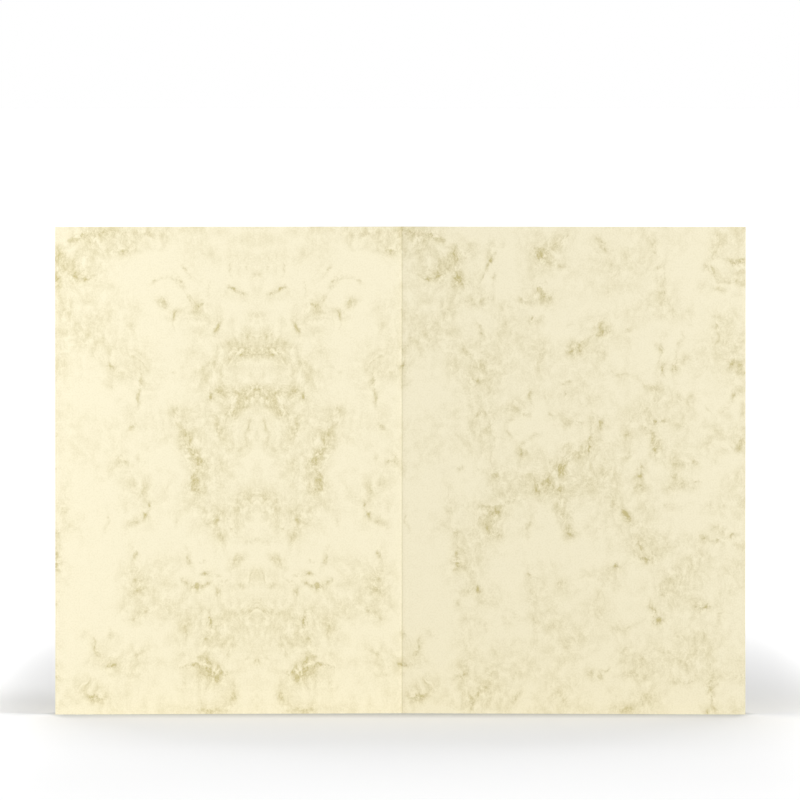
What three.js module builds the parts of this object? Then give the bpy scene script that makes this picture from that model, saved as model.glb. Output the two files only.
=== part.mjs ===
// A folded card: one sheet of marbled card, creased once and opened into a wide, shallow V.
// It stands on its long lower edge with the fold at the back (+Y) and the inner faces towards -Y.
// Millimetres, +Z up, origin at the middle of the foot of the card.

import * as THREE from 'three';

// The sheet, as it was cut
const sheetWidth = 210;
const sheetHeight = 148;
const sheetThickness = 0.3;
const foldOffset = 0.4; // how far the crease lies to the right of the middle of the sheet

// How far the card is opened, and how its panels lie
const openingAngle = 172; // degrees between the two panels, 180 being flat
const panelBow = 0.45; // how far each panel swells towards the reader from a flat one

// The crease: a channel pressed into the inner face, and the bend that it gives the sheet
const creaseTurn = 26; // degrees that the sheet turns at the crease itself
const bendRadius = 0.3; // inside the bend
const reliefLength = 1.6; // the stretch on each side over which the sheet eases back to its panel
const scoreWidth = 0.8;
const scoreDepth = 0.08;

// Stations along the sheet, where its outline has a point
const bendSteps = 3;
const reliefSteps = 12;
const panelSteps = 14;

const sheetColour = 0xf3ead0;

// A panel from the crease outwards, as a chain of arcs: each has a length and the angle it turns.
function panelArcs(panelWidth) {
  const creaseSlope = THREE.MathUtils.degToRad(creaseTurn / 2);
  const panelSlope = THREE.MathUtils.degToRad((180 - openingAngle) / 2);
  const bend = { length: (bendRadius + sheetThickness / 2) * creaseSlope, turn: creaseSlope, steps: bendSteps };
  const flatLength = panelWidth - bend.length - reliefLength;
  const bowSlope = 4 * panelBow / flatLength;
  const relief = { length: reliefLength, turn: panelSlope + bowSlope - creaseSlope, steps: reliefSteps };
  const panel = { length: flatLength, turn: -2 * bowSlope, steps: panelSteps };
  return [bend, relief, panel];
}

// The distances from the crease at which a panel has a station.
function stationsOf(arcs) {
  const stations = [0];
  let start = 0;
  for (const { length, steps } of arcs) {
    for (let step = 1; step <= steps; step += 1) {
      stations.push(start + length * step / steps);
    }
    start += length;
  }
  return stations;
}

// The place and slope on the middle of the sheet, some way along its arcs.
function walk(arcs, distance) {
  const place = { out: 0, forward: 0, slope: 0 };
  let left = distance;
  for (const { length, turn } of arcs) {
    const run = Math.min(left, length);
    const turned = turn * run / length;
    const halfTurn = turned / 2;
    const chord = halfTurn === 0 ? run : run * Math.sin(halfTurn) / halfTurn;
    place.out += chord * Math.cos(place.slope + halfTurn);
    place.forward += chord * Math.sin(place.slope + halfTurn);
    place.slope += turned;
    left -= run;
  }
  return place;
}

// The pressed channel sets both faces back by the same amount, so the sheet keeps its thickness.
function scoreSetBack(distance) {
  const share = Math.min(distance / (scoreWidth / 2), 1);
  return scoreDepth * (1 + Math.cos(Math.PI * share)) / 2;
}

// One panel's inner and outer faces as points in plan, from the crease to the free edge.
// side is -1 for the left panel and 1 for the right one.
function panelFaces(panelWidth, side) {
  const arcs = panelArcs(panelWidth);
  return stationsOf(arcs).map((distance) => {
    const { out, forward, slope } = walk(arcs, distance);
    const normal = new THREE.Vector2(-side * Math.sin(slope), -Math.cos(slope));
    const middle = new THREE.Vector2(side * out, -forward);
    middle.addScaledVector(normal, -scoreSetBack(distance));
    return {
      inner: middle.clone().addScaledVector(normal, sheetThickness / 2),
      outer: middle.clone().addScaledVector(normal, -sheetThickness / 2),
    };
  });
}

// The whole section in plan: along the inner face from left to right, and back along the outer one.
function sheetOutline() {
  const left = panelFaces(sheetWidth / 2 + foldOffset, -1).reverse();
  const right = panelFaces(sheetWidth / 2 - foldOffset, 1).slice(1);
  const stations = [...left, ...right];
  const inner = stations.map((station) => station.inner);
  const outer = stations.map((station) => station.outer).reverse();
  return new THREE.Shape([...inner, ...outer]);
}

function foldedSheet() {
  const geometry = new THREE.ExtrudeGeometry(sheetOutline(), {
    depth: sheetHeight,
    steps: 1,
    bevelEnabled: false,
  });
  geometry.computeBoundingBox();
  return geometry;
}

const cardStock = new THREE.MeshStandardMaterial({ color: sheetColour, roughness: 0.85, metalness: 0 });

const card = new THREE.Mesh(foldedSheet(), cardStock);
card.name = 'card';
const middle = card.geometry.boundingBox.getCenter(new THREE.Vector3());
card.position.set(-middle.x, -middle.y, 0);

const foldedCard = new THREE.Group();
foldedCard.add(card);

export default foldedCard;
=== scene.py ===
import math

import bpy
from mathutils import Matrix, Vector


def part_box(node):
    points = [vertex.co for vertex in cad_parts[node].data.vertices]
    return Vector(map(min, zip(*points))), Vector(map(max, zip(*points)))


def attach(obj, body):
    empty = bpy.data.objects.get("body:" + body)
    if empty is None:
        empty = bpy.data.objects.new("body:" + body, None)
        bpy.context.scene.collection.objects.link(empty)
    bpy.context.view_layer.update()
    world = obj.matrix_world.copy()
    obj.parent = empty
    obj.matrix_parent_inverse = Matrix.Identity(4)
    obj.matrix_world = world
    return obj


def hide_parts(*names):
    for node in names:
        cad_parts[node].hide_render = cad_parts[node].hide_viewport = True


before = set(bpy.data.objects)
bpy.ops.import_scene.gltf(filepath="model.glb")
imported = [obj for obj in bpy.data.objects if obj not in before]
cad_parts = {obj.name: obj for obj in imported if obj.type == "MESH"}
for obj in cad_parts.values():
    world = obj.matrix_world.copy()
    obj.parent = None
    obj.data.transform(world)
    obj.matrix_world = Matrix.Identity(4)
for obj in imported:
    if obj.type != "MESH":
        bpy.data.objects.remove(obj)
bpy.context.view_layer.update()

# The sheet
# One piece of 240 g/m2 uncoated card, guillotined square and creased by a rule pressed into its
# inner face. Paper has a memory: it turns tightly at the crease, eases back within a few
# millimetres and then runs almost flat, with the last of its swell towards the reader.
MM = 0.001
SHEET_WIDTH = 210 * MM
SHEET_THICKNESS = 0.3 * MM
FOLD_OFFSET = 0.4 * MM
OPENING_ANGLE = math.radians(172)
PANEL_BOW = 0.45 * MM
# The crease itself turns the sheet further than the panels end up, and the relief eases it back.
CREASE_TURN = math.radians(26)
BEND_RADIUS = 0.3 * MM
RELIEF_LENGTH = 1.6 * MM
SCORE_WIDTH = 0.8 * MM
SCORE_DEPTH = 0.08 * MM
# Columns of faces along each arc of a panel, and rows of them up the sheet
BEND_STEPS = 4
RELIEF_STEPS = 16
PANEL_STEPS = 42
ROWS = 59


def panel_arcs(panel_width):
    """A panel from the crease outwards, as arcs of a length, a turn and a number of steps."""
    crease_slope = CREASE_TURN / 2
    panel_slope = (math.pi - OPENING_ANGLE) / 2
    bend_length = (BEND_RADIUS + SHEET_THICKNESS / 2) * crease_slope
    flat_length = panel_width - bend_length - RELIEF_LENGTH
    bow_slope = 4 * PANEL_BOW / flat_length
    return [
        (bend_length, crease_slope, BEND_STEPS),
        (RELIEF_LENGTH, panel_slope + bow_slope - crease_slope, RELIEF_STEPS),
        (flat_length, -2 * bow_slope, PANEL_STEPS),
    ]


def stations_of(arcs):
    """The distances from the crease at which a panel has a column of points."""
    stations, start = [0.0], 0.0
    for length, _, steps in arcs:
        stations += [start + length * step / steps for step in range(1, steps + 1)]
        start += length
    return stations


def walk(arcs, distance):
    """How far out and forward the sheet has come, and its slope, at a distance from the crease."""
    out, forward, slope, left = 0.0, 0.0, 0.0, distance
    for length, turn, _ in arcs:
        run = min(left, length)
        half_turn = turn * run / length / 2
        chord = run * math.sin(half_turn) / half_turn if half_turn else run
        out += chord * math.cos(slope + half_turn)
        forward += chord * math.sin(slope + half_turn)
        slope += 2 * half_turn
        left -= run
    return out, forward, slope


def score_set_back(distance):
    """The pressed channel, which moves both faces back alike."""
    share = min(distance / (SCORE_WIDTH / 2), 1)
    return SCORE_DEPTH * (1 + math.cos(math.pi * share)) / 2


def panel_section(panel_width, side):
    """A panel's stations in plan, as (distance along the sheet, inner point, outer point)."""
    arcs = panel_arcs(panel_width)
    section = []
    for distance in stations_of(arcs):
        out, forward, slope = walk(arcs, distance)
        normal = Vector((-side * math.sin(slope), -math.cos(slope)))
        middle = Vector((side * out, -forward)) - normal * score_set_back(distance)
        half = normal * SHEET_THICKNESS / 2
        section.append((side * distance, middle + half, middle - half))
    return section


def sheet_section():
    """The whole section from the left edge to the right one, laid where the CAD sheet stands."""
    left = panel_section(SHEET_WIDTH / 2 + FOLD_OFFSET, -1)
    right = panel_section(SHEET_WIDTH / 2 - FOLD_OFFSET, 1)
    section = left[::-1] + right[1:]
    points = [point for _, inner, outer in section for point in (inner, outer)]
    low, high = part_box("card")
    middle_x = (min(p.x for p in points) + max(p.x for p in points)) / 2
    middle_y = (min(p.y for p in points) + max(p.y for p in points)) / 2
    move = Vector(((low.x + high.x) / 2 - middle_x, (low.y + high.y) / 2 - middle_y))
    left_edge = SHEET_WIDTH / 2 + FOLD_OFFSET
    return [(along + left_edge, inner + move, outer + move) for along, inner, outer in section]


def sheet_mesh(name):
    """The closed sheet, with a map of the unfolded card in millimetres as the reader sees each face."""
    section = sheet_section()
    count = len(section)
    low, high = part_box("card")
    heights = [low.z + (high.z - low.z) * row / ROWS for row in range(ROWS + 1)]
    ring = [(along, inner) for along, inner, _ in section]
    crease = SHEET_WIDTH / 2 + FOLD_OFFSET
    ring += [(2 * crease - along, outer) for along, _, outer in reversed(section)]
    vertices = [(point.x, point.y, height) for height in heights for _, point in ring]
    places = [(along / MM, (height - low.z) / MM) for height in heights for along, _ in ring]
    size = len(ring)
    faces, cut = [], []
    for row in range(ROWS):
        for column in range(size):
            after = (column + 1) % size
            base = row * size
            faces.append((base + column, base + after, base + size + after, base + size + column))
            cut.append(column in (count - 1, size - 1))
    top = ROWS * size
    for column in range(count - 1):
        behind = size - 1 - column
        faces.append((behind, behind - 1, column + 1, column))
        faces.append((top + column, top + column + 1, top + behind - 1, top + behind))
        cut += [True, True]
    mesh = bpy.data.meshes.new(name)
    mesh.from_pydata(vertices, [], faces)
    mesh.polygons.foreach_set("use_smooth", [not edge for edge in cut])
    mesh.polygons.foreach_set("material_index", [int(edge) for edge in cut])
    cut_corners = {key for polygon, edge in zip(mesh.polygons, cut) if edge for key in polygon.edge_keys}
    for edge in mesh.edges:
        edge.use_edge_sharp = edge.key in cut_corners
    sheet_map = mesh.uv_layers.new(name="sheet_mm")
    for loop in mesh.loops:
        sheet_map.data[loop.index].uv = places[loop.vertex_index]
    mesh.validate()
    return mesh


card = bpy.data.objects.new("marbled_card", sheet_mesh("marbled_card"))
bpy.context.scene.collection.objects.link(card)
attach(card, "root")
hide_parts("card")

# The marbling
# A common mill pattern: veins of olive-grey pulp in the cream stock, laid down by a roller. The
# left panel has them twice over, mirrored about an upright line, and the right panel once.


def linear(hex_colour):
    """An sRGB hex colour as the linear colour that a shader takes."""
    values = [int(hex_colour[place:place + 2], 16) / 255 for place in (1, 3, 5)]
    return (*[v / 12.92 if v <= 0.04045 else ((v + 0.055) / 1.055) ** 2.4 for v in values], 1.0)


def add(tree, kind, links=None, **settings):
    """Adds a node with its settings. links gives its inputs, each a value or another node's output."""
    node = tree.nodes.new(kind)
    for name, value in settings.items():
        setattr(node, name, value)
    for name, value in (links or {}).items():
        if isinstance(value, bpy.types.NodeSocket):
            tree.links.new(value, node.inputs[name])
        else:
            node.inputs[name].default_value = value
    return node


# Each mark is a soft oval: across from the sheet's left edge, up from its foot, half length and
# half width, all in mm, then its tilt in degrees and its depth.
MIRROR_LINE = 61.3
LEFT_MARKS = [
    (6.8, 145.2, 3.2, 1.0, 45, 0.80), (15.2, 146.4, 5.0, 1.5, 10, 0.70),
    (20.3, 143.6, 3.5, 2.5, 20, 0.50), (20.8, 140.6, 3.2, 0.9, -3, 0.75),
    (27.4, 146.2, 2.6, 1.4, 0, 0.60), (11.9, 142.9, 2.5, 2.0, 0, 0.35),
    (1.2, 138.8, 2.6, 1.6, -60, 0.85), (5.1, 134.3, 4.0, 1.6, -10, 0.55),
    (0.5, 132.5, 2.2, 0.8, 90, 0.90), (9.6, 132.2, 1.1, 0.5, 0, 0.50),
    (7.1, 137.1, 4.5, 3.5, 0, 0.25), (1.5, 121.4, 1.6, 1.4, 0, 0.30),
    (1.8, 106.5, 3.2, 1.5, 90, 0.40), (23.3, 117.8, 1.6, 0.5, -60, 0.45),
    (17.2, 106.4, 2.4, 0.6, -45, 0.65), (19.1, 103.6, 1.0, 0.4, -65, 0.50),
    (16.7, 100.1, 1.2, 0.6, -30, 0.35), (26.1, 105.9, 2.2, 0.4, -45, 0.50),
    (25.8, 100.1, 3.2, 0.5, 85, 0.75), (25.4, 95.5, 1.6, 0.5, 80, 0.45),
    (24.6, 90.0, 2.4, 0.4, 78, 0.40), (23.3, 87.1, 1.2, 0.5, 35, 0.75),
    (39.8, 135.0, 2.3, 0.5, -65, 0.80), (37.7, 131.2, 2.2, 0.8, -60, 0.80),
    (30.9, 131.5, 1.3, 0.5, 25, 0.55), (34.7, 132.2, 2.5, 0.4, 10, 0.40),
    (32.4, 125.4, 1.9, 1.2, -10, 0.80), (35.7, 121.9, 1.5, 1.1, 20, 1.00),
    (36.0, 118.8, 1.2, 0.3, -70, 0.45), (41.0, 125.4, 3.2, 0.3, -55, 0.45),
    (42.0, 125.4, 2.2, 0.3, -50, 0.40), (46.0, 129.0, 2.5, 0.3, 80, 0.35),
    (44.8, 124.1, 1.1, 0.6, 10, 0.80), (45.1, 122.4, 4.0, 2.0, 0, 0.35),
    (41.0, 119.8, 2.2, 0.5, -5, 0.45), (53.7, 129.0, 1.7, 0.6, -40, 0.80),
    (56.5, 127.7, 1.8, 0.4, -15, 0.60), (52.9, 135.5, 2.4, 0.3, -68, 0.40),
    (58.5, 135.8, 1.7, 0.5, -70, 0.50), (60.8, 134.0, 1.0, 1.0, 0, 0.40),
    (49.9, 117.1, 1.5, 0.6, 75, 1.00), (50.2, 120.9, 2.2, 0.8, 85, 0.35),
    (60.8, 121.4, 2.6, 1.0, 15, 0.45), (59.8, 115.3, 4.0, 1.5, 0, 0.35),
    (59.8, 109.7, 5.5, 2.0, 0, 0.65), (53.7, 110.2, 4.0, 3.0, -20, 0.45),
    (47.1, 105.7, 3.2, 2.0, 60, 0.30), (56.7, 98.1, 6.0, 2.4, 0, 0.55),
    (61.3, 98.3, 2.0, 1.2, 0, 0.55), (50.7, 98.8, 2.4, 1.8, 0, 0.50),
    (47.6, 96.0, 0.8, 0.8, 0, 1.00), (53.2, 92.2, 2.8, 1.6, 20, 0.60),
    (58.3, 94.5, 3.0, 1.5, 0, 0.35), (49.9, 86.4, 3.2, 0.8, -65, 0.70),
    (58.8, 86.9, 3.0, 0.5, 85, 0.40), (37.2, 91.5, 1.4, 0.6, -55, 0.50),
    (39.3, 85.4, 7.0, 2.0, -68, 0.45), (42.0, 78.3, 6.0, 2.4, -65, 0.60),
    (19.3, 78.3, 1.6, 0.7, 60, 0.80), (19.8, 76.3, 1.6, 0.6, -10, 0.70),
    (26.3, 77.3, 2.4, 1.2, -60, 0.35), (35.0, 103.4, 0.6, 0.6, 0, 0.70),
    (3.0, 67.2, 3.2, 1.5, 80, 0.35), (3.3, 61.9, 0.9, 0.9, 0, 0.65),
    (1.0, 54.5, 1.3, 0.9, 30, 0.90), (0.5, 47.4, 2.6, 0.7, 90, 0.90),
    (26.3, 68.7, 4.0, 2.6, -50, 0.50), (28.4, 62.6, 1.6, 0.4, 72, 0.80),
    (27.4, 60.1, 1.0, 0.8, 0, 1.00), (24.3, 58.3, 2.0, 0.8, 15, 0.70),
    (14.7, 58.6, 2.6, 0.5, 85, 0.40), (24.1, 49.5, 1.6, 0.7, 85, 0.95),
    (24.8, 42.4, 3.4, 0.9, -70, 0.50), (25.6, 37.8, 1.6, 0.8, 0, 0.50),
    (26.1, 29.7, 2.0, 1.4, 40, 0.55), (31.4, 26.2, 1.6, 0.4, 20, 0.40),
    (25.1, 18.6, 1.1, 0.7, 30, 0.65), (25.3, 20.1, 3.0, 2.0, 0, 0.30),
    (8.1, 24.1, 1.8, 1.2, 30, 0.40), (12.7, 19.6, 3.6, 0.4, -62, 0.55),
    (17.5, 14.5, 0.9, 0.6, 0, 0.80), (15.7, 13.2, 2.0, 0.3, 35, 0.45),
    (16.0, 23.6, 1.8, 0.4, 85, 0.40), (8.7, 8.9, 1.2, 1.1, 0, 0.90),
    (12.2, 4.6, 1.9, 0.8, -20, 1.00), (13.7, 4.9, 4.0, 2.4, 0, 0.50),
    (42.0, 71.8, 2.2, 1.6, -80, 0.60), (42.6, 68.2, 2.6, 1.4, 0, 0.50),
    (33.4, 67.7, 2.6, 0.6, 55, 0.30), (37.7, 58.1, 1.2, 0.6, 70, 0.35),
    (40.5, 47.4, 2.8, 0.6, -75, 0.65), (39.0, 40.4, 1.2, 0.5, -50, 0.60),
    (42.6, 38.3, 1.6, 1.2, 0, 1.10), (45.8, 39.1, 2.2, 0.6, 15, 0.90),
    (45.6, 42.6, 1.8, 0.6, 15, 0.80), (48.4, 41.9, 0.9, 0.6, 0, 0.80),
    (44.8, 46.9, 1.2, 0.4, 5, 0.50), (48.6, 59.6, 2.6, 1.4, 80, 0.40),
    (50.2, 53.0, 3.0, 1.1, -70, 0.55), (54.0, 56.6, 1.3, 0.7, 60, 0.70),
    (57.8, 62.6, 6.0, 3.5, 50, 0.30), (60.3, 67.2, 3.0, 2.5, 0, 0.25),
    (55.2, 46.4, 2.2, 1.4, 35, 0.75), (59.8, 53.0, 3.0, 0.6, 20, 0.50),
    (58.8, 40.9, 2.6, 0.8, 30, 0.55), (51.2, 39.8, 1.6, 0.4, 45, 0.60),
    (49.6, 36.6, 1.6, 0.7, 65, 0.90), (46.9, 28.2, 2.2, 0.6, -72, 1.00),
    (39.8, 24.9, 2.6, 0.6, 80, 0.50), (45.6, 21.1, 3.2, 0.8, 80, 0.45),
    (52.7, 19.6, 2.4, 0.5, 80, 0.40), (47.9, 12.0, 2.8, 2.4, 0, 1.30),
    (42.0, 14.0, 3.0, 0.5, -8, 0.80), (52.2, 13.2, 1.8, 0.5, 10, 0.90),
    (45.1, 16.0, 2.2, 1.3, 60, 0.60), (61.2, 15.5, 1.2, 0.7, 0, 0.90),
    (54.2, 6.9, 3.4, 1.0, 75, 0.70), (39.5, 8.9, 2.2, 0.7, 75, 0.40),
    (45.1, 1.3, 3.2, 1.6, 0, 0.65), (49.6, 1.4, 3.0, 1.2, 0, 0.50),
    (59.8, 27.7, 3.5, 5.0, 0, 0.22), (60.3, 31.2, 2.0, 0.6, 15, 0.40),
    (54.0, 15.0, 8.0, 8.0, 0, 0.08), (56.5, 96.3, 6.5, 3.0, 0, 0.26),
    (50.5, 105.0, 3.6, 2.6, 60, 0.25), (58.0, 104.5, 5.0, 5.5, 0, 0.12),
]
RIGHT_MARKS = [
    (132.5, 140.1, 3.5, 1.5, 70, 0.50), (132.2, 136.3, 4.4, 0.6, 60, 0.95),
    (134.2, 132.5, 2.4, 0.6, 65, 0.45), (123.1, 132.5, 2.2, 1.2, 70, 0.85),
    (125.1, 130.5, 1.6, 1.0, 0, 0.40), (125.1, 140.1, 3.5, 2.5, 0, 0.35),
    (148.7, 138.6, 2.2, 1.4, -45, 1.00), (152.0, 142.6, 5.0, 2.2, 30, 0.50),
    (154.8, 143.9, 0.9, 0.8, 0, 0.60), (153.5, 136.3, 1.8, 0.7, -30, 0.55),
    (148.9, 129.7, 1.4, 0.5, 80, 0.70), (146.9, 128.4, 2.2, 0.6, 25, 0.70),
    (148.9, 126.9, 1.6, 0.8, 0, 0.60), (142.3, 125.4, 1.2, 0.8, 0, 0.50),
    (144.9, 126.4, 4.5, 2.2, 15, 0.40), (150.5, 125.9, 3.0, 1.5, 0, 0.30),
    (144.4, 119.2, 1.1, 0.8, 0, 1.10), (147.2, 119.1, 1.6, 1.1, 0, 0.50),
    (130.2, 124.9, 3.0, 1.6, 10, 0.45), (125.6, 125.4, 1.4, 1.0, 0, 0.45),
    (129.7, 115.3, 1.6, 0.7, -60, 0.60), (127.7, 117.8, 1.5, 0.5, -50, 0.45),
    (126.6, 109.2, 2.2, 0.6, -35, 0.40), (127.7, 101.6, 2.8, 0.9, -5, 0.50),
    (130.2, 105.7, 2.0, 1.5, 0, 0.35), (124.0, 113.2, 5.0, 5.0, 0, 0.20),
    (143.9, 97.0, 2.0, 0.5, -75, 0.65), (142.6, 91.5, 1.3, 1.0, 0, 1.10),
    (139.3, 93.0, 3.2, 1.6, 40, 0.45), (138.5, 88.4, 1.4, 0.5, 45, 0.50),
    (132.5, 87.4, 1.2, 0.8, 75, 0.80), (129.7, 90.5, 2.2, 0.7, 0, 0.50),
    (133.7, 82.9, 1.3, 0.7, 0, 0.45), (132.7, 77.8, 3.0, 0.6, 85, 0.35),
    (141.8, 78.8, 1.3, 0.9, -20, 1.00), (143.4, 82.4, 2.6, 1.0, 40, 0.45),
    (145.9, 84.4, 1.1, 0.5, 0, 0.45), (138.0, 84.9, 1.6, 0.5, -75, 0.40),
    (122.7, 74.2, 0.9, 0.7, 0, 1.20), (156.3, 100.6, 0.9, 0.7, 0, 0.80),
    (155.0, 97.3, 0.8, 0.4, 0, 0.45), (157.0, 111.2, 1.4, 1.6, 0, 0.45),
    (156.5, 117.8, 1.6, 0.4, 50, 0.40), (151.5, 91.0, 1.8, 0.5, -45, 0.45),
    (155.5, 88.9, 3.4, 1.8, -15, 0.50), (154.8, 75.3, 2.6, 1.8, 30, 0.55),
    (151.0, 76.8, 0.6, 0.5, 0, 0.70), (155.5, 80.8, 1.0, 0.7, 0, 0.55),
    (147.4, 109.0, 4.0, 1.0, 85, 0.25), (166.3, 142.4, 2.2, 0.5, -82, 0.85),
    (181.4, 143.1, 2.8, 1.4, 75, 0.35), (181.6, 140.1, 0.8, 0.5, 0, 0.50),
    (183.1, 135.8, 0.9, 0.6, 0, 0.60), (182.9, 132.0, 2.8, 0.3, 88, 0.45),
    (184.9, 132.5, 3.2, 0.5, 85, 0.45), (184.4, 127.7, 1.0, 0.6, 0, 0.60),
    (184.6, 124.4, 2.8, 0.3, 87, 0.40), (187.9, 123.4, 1.8, 0.4, -60, 0.35),
    (201.1, 141.1, 3.6, 1.8, 50, 0.50), (202.1, 145.7, 1.6, 1.2, 0, 0.40),
    (199.6, 134.5, 2.2, 1.2, -30, 0.80), (197.8, 135.0, 1.4, 0.5, -60, 0.70),
    (204.7, 131.5, 4.0, 0.7, -8, 0.65), (206.4, 137.8, 2.4, 0.9, -5, 1.00),
    (209.2, 137.3, 1.4, 1.2, 0, 0.70), (207.7, 134.0, 3.4, 2.4, 0, 0.50),
    (202.1, 129.0, 1.6, 0.6, -15, 0.55), (197.0, 130.0, 2.0, 1.4, 0, 0.30),
    (201.4, 117.8, 1.1, 0.9, 90, 0.90), (201.6, 120.9, 2.6, 2.0, 0, 0.35),
    (201.9, 114.8, 1.8, 0.3, 85, 0.40), (208.7, 122.9, 1.2, 0.6, 0, 0.40),
    (165.9, 117.8, 2.2, 1.6, -20, 0.45), (165.1, 115.5, 2.6, 0.5, 15, 0.70),
    (160.3, 112.7, 1.8, 0.6, 65, 0.60), (158.6, 111.2, 2.6, 1.6, -10, 0.55),
    (174.5, 117.3, 1.0, 0.7, 0, 0.55), (166.7, 108.7, 2.0, 0.7, -60, 0.40),
    (169.2, 104.1, 2.2, 0.5, -30, 0.45), (172.7, 103.1, 2.6, 0.5, 2, 0.45),
    (183.6, 111.5, 0.9, 0.8, 0, 0.90), (183.9, 109.2, 2.6, 0.5, 85, 0.55),
    (185.4, 104.6, 2.2, 0.6, 85, 0.85), (184.9, 115.3, 1.6, 0.9, 0, 0.35),
    (190.2, 114.8, 1.6, 0.3, 85, 0.45), (189.5, 107.7, 4.5, 0.6, 82, 0.60),
    (189.2, 104.6, 1.6, 1.0, 0, 0.60), (191.5, 107.2, 2.2, 0.9, 60, 0.50),
    (199.1, 107.7, 2.2, 0.5, -70, 0.40), (205.4, 106.7, 1.2, 0.7, 60, 0.70),
    (208.5, 104.1, 1.8, 1.4, -30, 0.75), (181.9, 98.6, 1.8, 0.7, -5, 0.75),
    (179.1, 100.6, 1.4, 0.5, -70, 0.50), (182.4, 95.5, 2.0, 1.4, 0, 0.35),
    (193.0, 95.0, 2.2, 0.4, 70, 0.50), (190.5, 95.5, 3.0, 1.6, 0, 0.35),
    (198.6, 92.5, 2.0, 0.3, -50, 0.40), (207.2, 97.0, 2.6, 1.0, 45, 0.65),
    (204.1, 93.5, 2.4, 0.6, 50, 0.50), (209.2, 92.5, 1.0, 2.0, 0, 0.45),
    (166.2, 88.9, 1.8, 0.8, 80, 0.60), (163.1, 84.9, 3.2, 0.7, 85, 0.70),
    (162.6, 80.8, 1.0, 0.9, 0, 0.80), (160.1, 80.3, 3.6, 1.4, 40, 0.55),
    (158.8, 87.7, 1.1, 0.5, 0, 0.80), (157.0, 77.8, 3.0, 3.0, 0, 0.50),
    (182.4, 88.9, 0.9, 0.6, 40, 1.10), (184.9, 88.9, 0.9, 0.5, -20, 0.90),
    (178.8, 87.4, 1.6, 0.6, -50, 0.45), (181.9, 84.4, 3.0, 1.0, -65, 0.55),
    (182.6, 80.8, 2.4, 1.1, 85, 0.90), (173.8, 84.9, 2.2, 1.6, 40, 0.40),
    (174.5, 78.8, 1.5, 0.8, 40, 0.65), (178.6, 74.2, 1.2, 0.8, 40, 0.80),
    (191.5, 87.9, 3.0, 1.5, 0, 0.30), (194.0, 77.0, 1.6, 0.6, 10, 0.65),
    (200.6, 76.3, 1.2, 0.5, -50, 0.40), (208.2, 82.4, 1.6, 0.8, 30, 0.65),
    (205.2, 80.3, 2.2, 0.8, 15, 0.50), (189.5, 75.8, 2.0, 1.4, 0, 0.45),
    (133.7, 61.6, 1.6, 1.2, 0, 1.00), (133.7, 58.6, 2.8, 3.2, 0, 0.45),
    (134.2, 55.0, 2.2, 1.2, 0, 0.55), (138.5, 64.2, 2.2, 0.7, 20, 0.95),
    (130.7, 62.6, 1.0, 0.7, 0, 0.60), (134.2, 72.8, 1.6, 1.2, 0, 0.55),
    (129.2, 73.8, 1.6, 1.0, 0, 0.35), (122.8, 45.2, 1.6, 0.8, -50, 0.90),
    (125.1, 37.6, 3.2, 0.8, 8, 0.65), (128.7, 38.6, 1.2, 0.9, 0, 0.65),
    (123.1, 33.3, 1.2, 1.0, 0, 0.50), (124.6, 29.0, 1.4, 0.8, 0, 0.40),
    (144.6, 41.6, 1.1, 0.6, 0, 0.60), (153.5, 39.3, 1.8, 1.4, 60, 0.55),
    (144.9, 33.3, 1.0, 0.8, 0, 0.50), (145.4, 27.7, 2.4, 0.9, -70, 0.45),
    (137.3, 27.7, 2.4, 0.8, -55, 0.45), (139.8, 29.2, 1.8, 0.7, -50, 0.40),
    (140.3, 21.6, 1.6, 0.6, 45, 0.35), (131.2, 25.7, 2.0, 0.6, 85, 0.35),
    (124.4, 14.5, 1.6, 1.2, 0, 0.40), (123.6, 11.5, 2.4, 0.4, 25, 0.55),
    (132.2, 12.0, 1.2, 1.3, 0, 0.65), (130.2, 7.4, 2.6, 0.7, 40, 0.70),
    (134.7, 6.9, 0.9, 0.8, 0, 0.45), (126.9, 1.9, 2.2, 0.6, -70, 0.70),
    (133.2, 3.9, 5.0, 2.2, 0, 0.35), (140.3, 4.9, 2.0, 0.9, 50, 0.55),
    (142.9, 6.4, 1.4, 0.6, 20, 0.45), (154.5, 4.9, 3.4, 0.7, -50, 0.45),
    (155.5, 59.1, 3.6, 1.5, -80, 0.85), (157.3, 55.0, 1.6, 1.3, 0, 0.90),
    (153.5, 67.2, 5.0, 3.5, -40, 0.50), (155.0, 74.3, 2.0, 1.2, 0, 0.75),
    (146.7, 69.0, 1.2, 1.0, 0, 0.50), (149.4, 70.2, 5.0, 2.6, 0, 0.40),
    (143.9, 57.6, 3.2, 0.7, 88, 0.35), (178.1, 71.8, 3.4, 0.9, 75, 0.80),
    (177.8, 68.2, 2.2, 1.6, 0, 0.50), (187.9, 72.5, 0.7, 0.7, 0, 0.90),
    (186.4, 69.2, 3.0, 2.2, 0, 0.45), (190.0, 70.2, 2.2, 1.4, 0, 0.50),
    (194.8, 70.8, 1.4, 0.5, 5, 0.85), (194.0, 68.7, 2.2, 1.2, 0, 0.40),
    (161.6, 70.2, 4.0, 3.5, 0, 0.45), (174.0, 59.1, 1.8, 0.8, -80, 0.90),
    (173.2, 61.6, 1.6, 0.5, -80, 0.50), (170.0, 64.7, 2.6, 0.5, 75, 0.35),
    (186.9, 62.6, 4.0, 1.2, 5, 0.40), (198.1, 63.7, 1.2, 0.8, 0, 0.55),
    (203.4, 63.9, 1.1, 0.6, 0, 0.50), (201.6, 56.1, 2.4, 1.3, -20, 0.60),
    (197.8, 53.5, 1.2, 0.9, 0, 0.80), (201.1, 52.5, 2.6, 0.6, 10, 0.80),
    (205.7, 54.0, 2.2, 0.6, 5, 0.80), (208.2, 51.5, 1.4, 0.7, -25, 0.65),
    (177.8, 51.0, 1.3, 0.5, -60, 1.00), (179.6, 47.2, 2.2, 0.8, -10, 1.10),
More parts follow.
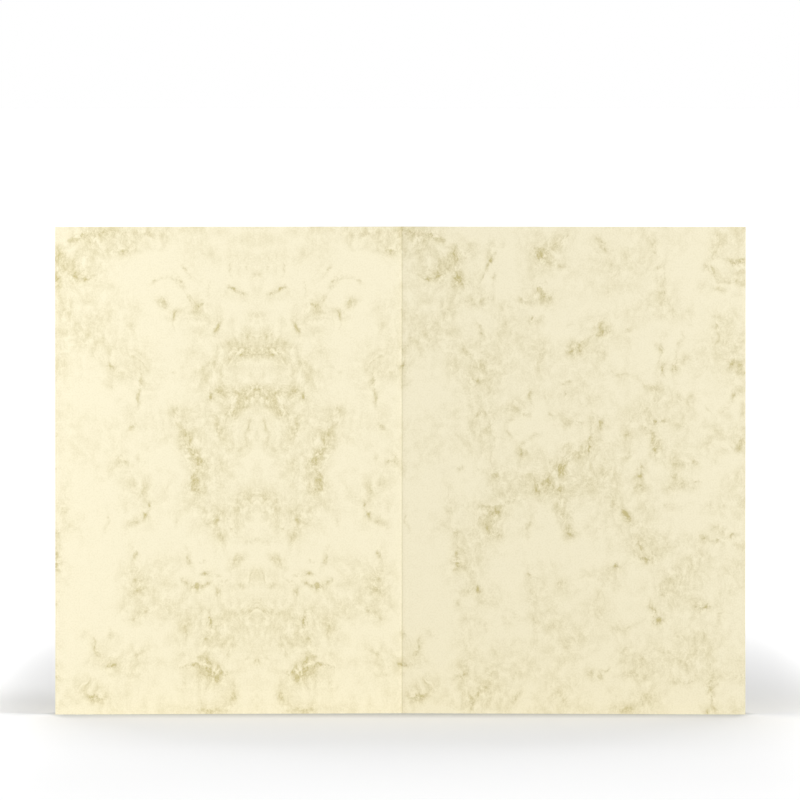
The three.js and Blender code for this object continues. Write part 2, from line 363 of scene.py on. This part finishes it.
    (181.4, 49.0, 1.0, 0.5, 60, 0.70), (179.3, 48.5, 3.4, 2.4, 0, 0.35),
    (170.6, 44.8, 0.9, 0.8, 0, 1.10), (192.8, 44.2, 1.3, 0.6, 0, 0.50),
    (181.6, 31.7, 2.2, 0.6, -72, 1.10), (183.4, 28.2, 2.0, 1.2, -60, 1.10),
    (184.9, 36.8, 3.0, 2.0, 0, 0.30), (196.5, 32.7, 1.5, 0.9, 0, 1.15),
    (164.1, 32.2, 1.0, 0.8, 0, 0.60), (166.4, 30.0, 0.8, 0.4, -45, 0.45),
    (164.4, 12.0, 2.0, 1.4, -35, 0.85), (168.7, 14.0, 3.0, 0.4, 30, 0.70),
    (172.7, 19.1, 2.6, 2.0, 60, 0.50), (175.8, 11.5, 3.0, 1.2, -8, 0.75),
    (177.8, 15.0, 4.0, 3.0, 0, 0.40), (185.4, 19.6, 1.6, 1.0, -30, 0.50),
    (192.0, 10.5, 4.5, 0.6, 10, 0.45), (200.6, 5.4, 4.4, 0.9, -80, 0.90),
    (199.1, 9.5, 1.0, 1.0, 0, 0.60), (198.3, 1.3, 1.6, 1.6, 0, 0.90),
    (173.2, 1.3, 3.0, 1.3, 0, 0.70), (178.8, 4.4, 4.0, 2.4, 15, 0.45),
    (159.6, 2.4, 2.4, 1.8, 0, 0.40), (207.7, 11.5, 2.2, 1.6, 0, 0.35),
    (202.6, 29.2, 3.0, 1.0, 88, 0.30), (190.2, 23.6, 2.0, 0.4, -50, 0.40),
    (170.7, 25.2, 2.0, 1.4, 0, 0.30), (176.3, 27.2, 3.0, 0.5, 35, 0.35),
    (190.0, 30.0, 12.0, 16.0, 0, 0.14), (165.0, 82.0, 10.0, 9.0, 0, 0.12),
    (208.0, 20.0, 6.0, 14.0, 0, 0.08),
]
# A mark fades out this many times its half length and half width away.
MARK_REACH = 2.5
MARK_STRENGTH = 0.72
# Wet pulp drifts in swirls about 9 mm across, and its rims curl within 2 mm. All four are in mm.
SWIRL_SIZE = 9.0
SWIRL_REACH = 2.2
CURL_SIZE = 1.8
CURL_REACH = 1.0


def scattered(tree, place, size, reach):
    """A place moved about by noise, up to a reach, both in mm."""
    noise = add(tree, "ShaderNodeTexNoise", {"Vector": place, "Scale": 1 / size, "Detail": 3.0},
                noise_dimensions="2D")
    centred = add(tree, "ShaderNodeVectorMath", {0: noise.outputs["Color"], 1: (0.5, 0.5, 0.5)},
                  operation="SUBTRACT")
    moved = add(tree, "ShaderNodeVectorMath",
                {0: centred.outputs[0], 1: (2 * reach, 2 * reach, 0), 2: place},
                operation="MULTIPLY_ADD")
    return moved.outputs[0]


def veins(tree, place):
    """How much vein pulp the marks leave at a place on the sheet folded over at the mirror line.

    Past twice the mirror line such a place is less than nought. The right panel's marks are laid
    there, so they print only once.
    """
    total = 0.0
    marks = LEFT_MARKS + [
        (2 * MIRROR_LINE - across, up, long, wide, -tilt, depth)
        for across, up, long, wide, tilt, depth in RIGHT_MARKS]
    for across, up, long, wide, tilt, depth in marks:
        blot = add(tree, "ShaderNodeTexGradient", {"Vector": place}, gradient_type="QUADRATIC_SPHERE")
        laid = blot.texture_mapping
        laid.vector_type = "TEXTURE"
        laid.translation = (across, up, 0)
        laid.rotation = (0, 0, math.radians(tilt))
        laid.scale = (MARK_REACH * long, MARK_REACH * wide, 1)
        total = add(tree, "ShaderNodeMath", {
            0: blot.outputs["Fac"], 1: MARK_STRENGTH * depth, 2: total,
        }, operation="MULTIPLY_ADD").outputs[0]
    return total


# Uncoated marbled card
# Wood-pulp card pressed between felts and left uncoated. The veins are cloudy and break up into
# fibres, and the felts leave a fine dry grain, so it has no shine, only a faint mottle.
CLEAN_PAPER = linear("#F8F0D3")
VEIN_PAPER = linear("#CABD87")
# Clumps of fibre tear the veins into shreds 2 to 3 mm across, a third longer upright, and thin
# haze drifts over 20 mm. The felts' grain is about 0.3 mm. It is drawn at 0.5 mm, because a finer
# one would not show.
SHRED_SIZE = 2.6
SHRED_STRETCH = (1.0, 0.75, 1.0)
CLOUD_SIZE = 20.0
GRAIN_SIZE = 0.5
FELT_HEIGHT = 0.010 * MM
# Noise lies mostly within the first two ranges. It is carried over to the last three: the haze's
# share of vein pulp, how much of a vein its shreds keep, and the grain specks' share.
NOISE_RANGE = (0.3, 0.7)
CLOUD_RANGE = (0.4, 0.7)
HAZE = (0.03, 0.30)
SHREDS = (-0.35, 2.05)
SPECKS = (-0.08, 0.11)
# Along the crease a narrow line of the colour is darkened towards the veins': painted shade in the fold.
CREASE_PLACE = (SHEET_WIDTH / 2 + FOLD_OFFSET) / MM
CREASE_SHADE_WIDTH = 0.9
CREASE_SHADE_SHARE = 0.16
marbled = bpy.data.materials.new("uncoated_marbled_card")
marbled.use_nodes = True
tree = marbled.node_tree
shader = tree.nodes["Principled BSDF"]
sheet_place = add(tree, "ShaderNodeUVMap", uv_map="sheet_mm")
parts = add(tree, "ShaderNodeSeparateXYZ", {0: sheet_place.outputs[0]})
from_line = add(tree, "ShaderNodeMath", {0: parts.outputs[0], 1: MIRROR_LINE}, operation="SUBTRACT")
aside = add(tree, "ShaderNodeMath", {0: from_line.outputs[0]}, operation="ABSOLUTE")
folded_over = add(tree, "ShaderNodeMath", {0: MIRROR_LINE, 1: aside.outputs[0]}, operation="SUBTRACT")
roller_place = add(tree, "ShaderNodeCombineXYZ", {0: folded_over.outputs[0], 1: parts.outputs[1]})
swirled = scattered(tree, roller_place.outputs[0], SWIRL_SIZE, SWIRL_REACH)
curled = scattered(tree, swirled, CURL_SIZE, CURL_REACH)
stretched = add(tree, "ShaderNodeVectorMath", {0: swirled, 1: SHRED_STRETCH}, operation="MULTIPLY")
billow = add(tree, "ShaderNodeTexNoise", {
    "Vector": stretched.outputs[0], "Scale": 1 / SHRED_SIZE, "Detail": 6.0, "Roughness": 0.8,
}, noise_dimensions="2D")
cloud = add(tree, "ShaderNodeTexNoise", {
    "Vector": swirled, "Scale": 1 / CLOUD_SIZE, "Detail": 3.0, "Roughness": 0.6,
}, noise_dimensions="2D")
grain = add(tree, "ShaderNodeTexNoise", {
    "Vector": sheet_place.outputs[0], "Scale": 1 / GRAIN_SIZE, "Detail": 2.0, "Roughness": 0.7,
}, noise_dimensions="2D")
haze = add(tree, "ShaderNodeMapRange", {
    "Value": cloud.outputs["Fac"], "From Min": CLOUD_RANGE[0], "From Max": CLOUD_RANGE[1],
    "To Min": HAZE[0], "To Max": HAZE[1],
})
density = add(tree, "ShaderNodeMath", {0: veins(tree, curled), 1: haze.outputs[0]}, operation="ADD")
ragged = add(tree, "ShaderNodeMapRange", {
    "Value": billow.outputs["Fac"], "From Min": NOISE_RANGE[0], "From Max": NOISE_RANGE[1],
    "To Min": SHREDS[0], "To Max": SHREDS[1],
}, clamp=False)
specks = add(tree, "ShaderNodeMapRange", {
    "Value": grain.outputs["Fac"], "From Min": NOISE_RANGE[0], "From Max": NOISE_RANGE[1],
    "To Min": SPECKS[0], "To Max": SPECKS[1],
}, clamp=False)
past_crease = add(tree, "ShaderNodeMath", {0: parts.outputs[0], 1: CREASE_PLACE}, operation="SUBTRACT")
from_crease = add(tree, "ShaderNodeMath", {0: past_crease.outputs[0]}, operation="ABSOLUTE")
# Painted shade along the crease, strongest on its line and gone half its width away.
painted_crease_shade = add(tree, "ShaderNodeMapRange", {
    "Value": from_crease.outputs[0], "From Max": CREASE_SHADE_WIDTH / 2,
    "To Min": CREASE_SHADE_SHARE, "To Max": 0.0,
})
# The grain specks, with the painted crease shade added to them.
specks_and_crease_shade = add(tree, "ShaderNodeMath", {0: specks.outputs[0], 1: painted_crease_shade.outputs[0]}, operation="ADD")
share = add(tree, "ShaderNodeMath", {
    0: density.outputs[0], 1: ragged.outputs[0], 2: specks_and_crease_shade.outputs[0],
}, operation="MULTIPLY_ADD", use_clamp=True)
# The pulp colour also carries the painted shade along the crease.
pulp = add(tree, "ShaderNodeMix", {"Factor": share.outputs[0]}, data_type="RGBA")
pulp.inputs["A"].default_value = CLEAN_PAPER
pulp.inputs["B"].default_value = VEIN_PAPER
tree.links.new(pulp.outputs["Result"], shader.inputs["Base Color"])
felt = add(tree, "ShaderNodeBump", {"Height": grain.outputs["Fac"], "Distance": FELT_HEIGHT})
tree.links.new(felt.outputs[0], shader.inputs["Normal"])
shader.inputs["Roughness"].default_value = 0.9
shader.inputs["IOR"].default_value = 1.5
card.data.materials.append(marbled)

# The cut edges
# The guillotine's blade leaves a clean, slightly rough edge, where the stock shows its plain
# cream core with short fibres standing across it.
CORE_PALE = linear("#FBF6E0")
CORE_DULL = linear("#EBE2C2")
# Cut fibres are a few hundredths of a millimetre across. They are drawn at 0.2 mm, to show at all.
STUBBLE_SIZE = 0.2
edge_cut = bpy.data.materials.new("guillotined_card_edge")
edge_cut.use_nodes = True
tree = edge_cut.node_tree
shader = tree.nodes["Principled BSDF"]
sheet_place = add(tree, "ShaderNodeUVMap", uv_map="sheet_mm")
stubble = add(tree, "ShaderNodeTexNoise", {
    "Vector": sheet_place.outputs[0], "Scale": 1 / STUBBLE_SIZE, "Detail": 3.0, "Roughness": 0.7,
})
core = add(tree, "ShaderNodeMix", {"Factor": stubble.outputs["Fac"]}, data_type="RGBA")
core.inputs["A"].default_value = CORE_PALE
core.inputs["B"].default_value = CORE_DULL
tree.links.new(core.outputs["Result"], shader.inputs["Base Color"])
shader.inputs["Roughness"].default_value = 0.95
card.data.materials.append(edge_cut)

# The floor
# A sweep of matt white paper, which isn't part of the object. Its matt shading keeps the lamps' shadows
# of the card, a painted shadow in its colour darkens the narrow strip of contact, and a glow that only
# the camera sees shows it white further off, weaker round the card's foot, which paints shade there.
FLOOR_HALF = 30.0
FLOOR_WHITE = 0.93
# The glow that only the camera sees is full this far to the side, and in front and behind, in
# metres. Its dark middle, a painted shade round the card, lies a little to the right, and it grows
# outwards from there as these powers of the distance.
GLOW = 0.52
GLOW_HALF_WIDTH = 0.137
GLOW_DEPTH = 0.70
GLOW_ASIDE = 0.003
SIDE_POWER = 12.0
FRONT_POWER = 0.75
BACK_POWER = 1.6
# The painted shadow in the strip of contact, a darker floor colour that only the camera sees: how far
# out it fades, by the same measure as the glow's, and the places in metres from the card's middle
# between which it ends at the corners. The last is the floor's painted colour at the foot.
CONTACT_FADE = (0.02, 0.09)
CONTACT_END = (0.1010, 0.1110)
CONTACT_PAINTED_SHADE = 0.59
floor_mesh = bpy.data.meshes.new("studio_floor")
floor_mesh.from_pydata(
    [(-FLOOR_HALF, -FLOOR_HALF, 0), (FLOOR_HALF, -FLOOR_HALF, 0),
     (FLOOR_HALF, FLOOR_HALF, 0), (-FLOOR_HALF, FLOOR_HALF, 0)], [], [(0, 1, 2, 3)])
floor = bpy.data.objects.new("studio_floor", floor_mesh)
bpy.context.scene.collection.objects.link(floor)
sweep = bpy.data.materials.new("white_studio_sweep")
sweep.use_nodes = True
tree = sweep.node_tree
tree.nodes.remove(tree.nodes["Principled BSDF"])
floor_ray = add(tree, "ShaderNodeLightPath")
place = add(tree, "ShaderNodeTexCoord")
scaled = add(tree, "ShaderNodeVectorMath", {
    0: place.outputs["Object"], 1: (1 / GLOW_HALF_WIDTH, 1 / GLOW_DEPTH, 0),
    2: (-GLOW_ASIDE / GLOW_HALF_WIDTH, 0, 0),
}, operation="MULTIPLY_ADD")
unsigned = add(tree, "ShaderNodeVectorMath", {0: scaled.outputs[0]}, operation="ABSOLUTE")
away = add(tree, "ShaderNodeSeparateXYZ", {0: unsigned.outputs[0]})
beside = add(tree, "ShaderNodeMath", {0: away.outputs[0], 1: SIDE_POWER}, operation="POWER")
beyond = add(tree, "ShaderNodeMath", {0: away.outputs[1], 1: FRONT_POWER}, operation="POWER")
spot = add(tree, "ShaderNodeSeparateXYZ", {0: place.outputs["Object"]})
from_middle = add(tree, "ShaderNodeMath", {0: spot.outputs[0]}, operation="ABSOLUTE")
past_corner = add(tree, "ShaderNodeMapRange", {
    "Value": from_middle.outputs[0], "From Min": CONTACT_END[0], "From Max": CONTACT_END[1],
    "To Min": 0.0, "To Max": CONTACT_FADE[1],
}, interpolation_type="SMOOTHSTEP")
near_foot = add(tree, "ShaderNodeMath", {0: past_corner.outputs[0], 1: beyond.outputs[0]},
                operation="ADD", use_clamp=True)
in_front = add(tree, "ShaderNodeMath", {0: spot.outputs[1], 1: 0.0}, operation="LESS_THAN")
power = add(tree, "ShaderNodeMapRange", {
    "Value": in_front.outputs[0], "To Min": BACK_POWER, "To Max": FRONT_POWER,
})
before_or_behind = add(tree, "ShaderNodeMath", {0: away.outputs[1], 1: power.outputs[0]},
                       operation="POWER")
# The glow's share, least round the card, which paints shade on the floor there.
clear = add(tree, "ShaderNodeMath", {0: beside.outputs[0], 1: before_or_behind.outputs[0]},
            operation="ADD", use_clamp=True)
# The floor's colour at the foot: a painted shadow that only the camera sees.
painted_contact_shade = add(tree, "ShaderNodeMapRange", {
    "Value": floor_ray.outputs["Is Camera Ray"], "To Min": FLOOR_WHITE, "To Max": CONTACT_PAINTED_SHADE,
})
floor_with_painted_shadow = add(tree, "ShaderNodeMapRange", {
    "Value": near_foot.outputs[0], "From Min": CONTACT_FADE[0], "From Max": CONTACT_FADE[1],
    "To Min": painted_contact_shade.outputs[0], "To Max": FLOOR_WHITE,
})
matt = add(tree, "ShaderNodeBsdfDiffuse", {"Color": floor_with_painted_shadow.outputs[0]})
glow_level = add(tree, "ShaderNodeMath", {0: clear.outputs[0], 1: GLOW}, operation="MULTIPLY")
seen = add(tree, "ShaderNodeMath",
           {0: floor_ray.outputs["Is Camera Ray"], 1: glow_level.outputs[0]},
           operation="MULTIPLY")
glow = add(tree, "ShaderNodeEmission", {"Color": (1, 1, 1, 1), "Strength": seen.outputs[0]})
lit = add(tree, "ShaderNodeAddShader", {0: matt.outputs[0], 1: glow.outputs[0]})
tree.links.new(lit.outputs[0], tree.nodes["Material Output"].inputs["Surface"])
floor_mesh.materials.append(sweep)

# The studio light
# Two low softboxes stand close on either side, so the sheet's outer edges are the brightest. A key
# lamp far to the right turns the two panels apart in tone, a weak one far to the left softens
# that, and one far behind lights the back.
AMBIENT = 0.24
world = bpy.data.worlds.new("white_room")
bpy.context.scene.world = world
world.use_nodes = True
tree = world.node_tree
room_ray = add(tree, "ShaderNodeLightPath")
seen_or_mirrored = add(tree, "ShaderNodeMath", {
    0: room_ray.outputs["Is Camera Ray"], 1: room_ray.outputs["Is Glossy Ray"],
}, operation="MAXIMUM")
shows_white = add(tree, "ShaderNodeMath", {
    0: seen_or_mirrored.outputs[0], 1: room_ray.outputs["Is Transmission Ray"],
}, operation="MAXIMUM")
room_level = add(tree, "ShaderNodeMapRange", {
    "Value": shows_white.outputs[0], "To Min": AMBIENT, "To Max": 1.0,
})
tree.nodes["Background"].inputs["Color"].default_value = (1, 1, 1, 1)
tree.links.new(room_level.outputs[0], tree.nodes["Background"].inputs["Strength"])


def softbox(name, place, aim, width, height, power):
    """A rectangular lamp at a place, facing an aim. All is in metres but the power, in watts."""
    lamp = bpy.data.lights.new(name, "AREA")
    lamp.shape = "RECTANGLE"
    lamp.size = width
    lamp.size_y = height
    lamp.energy = power
    box = bpy.data.objects.new(name, lamp)
    bpy.context.scene.collection.objects.link(box)
    box.location = place
    box.rotation_euler = (Vector(aim) - Vector(place)).to_track_quat("-Z", "Y").to_euler()


def wide_lamp(name, azimuth, elevation, spread, strength):
    """A lamp far off. Its azimuth, from the front towards the right, its elevation and its spread
    are in degrees, and its strength is in watts per square metre."""
    lamp = bpy.data.lights.new(name, "SUN")
    lamp.angle = math.radians(spread)
    lamp.energy = strength
    stand = bpy.data.objects.new(name, lamp)
    bpy.context.scene.collection.objects.link(stand)
    turn, lift = math.radians(azimuth), math.radians(elevation)
    towards = Vector((math.sin(turn) * math.cos(lift), -math.cos(turn) * math.cos(lift), math.sin(lift)))
    stand.rotation_euler = towards.to_track_quat("Z", "Y").to_euler()


CARD_MIDDLE = (0.0, 0.0, 0.075)
softbox("left_softbox", (-0.30, -0.15, 0.20), CARD_MIDDLE, 0.12, 0.25, 0.36)
softbox("right_softbox", (0.30, -0.15, 0.20), CARD_MIDDLE, 0.12, 0.25, 0.26)
wide_lamp("key_lamp", 60, 18, 24, 1.55)
wide_lamp("front_lamp", -30, 28, 24, 0.30)
wide_lamp("back_lamp", 180, 25, 40, 1.5)

# The camera
# A long lens almost level with the card, as the photograph's straight edges show. The frame is
# set so that the card's four edges lie where they do in the photograph, in pixels.
PHOTO_SIZE = 800
CARD_LEFT, CARD_RIGHT = 55.10, 745.65
CARD_TOP, CARD_FOOT = 227.0, 714.6
ELEVATION = math.radians(1.6)
LENS = 600.0
SENSOR = 36.0
low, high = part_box("card")
view_width = (high.x - low.x) * PHOTO_SIZE / (CARD_RIGHT - CARD_LEFT)
distance = view_width * LENS / SENSOR
to_camera = Vector((0, -math.cos(ELEVATION), math.sin(ELEVATION)))
per_pixel = view_width / PHOTO_SIZE
across = (PHOTO_SIZE / 2 - (CARD_LEFT + CARD_RIGHT) / 2) * per_pixel
rise = ((CARD_TOP + CARD_FOOT) / 2 - PHOTO_SIZE / 2) * per_pixel
target = Vector(((low.x + high.x) / 2 + across, low.y, (low.z + high.z) / 2 + rise))
camera_data = bpy.data.cameras.new("camera")
camera_data.lens = LENS
camera_data.sensor_width = SENSOR
camera_data.clip_end = 100
camera = bpy.data.objects.new("camera", camera_data)
bpy.context.scene.collection.objects.link(camera)
camera.location = target + to_camera * distance
camera.rotation_euler = (-to_camera).to_track_quat("-Z", "Y").to_euler()
bpy.context.scene.camera = camera
bpy.context.scene.view_settings.view_transform = "Standard"
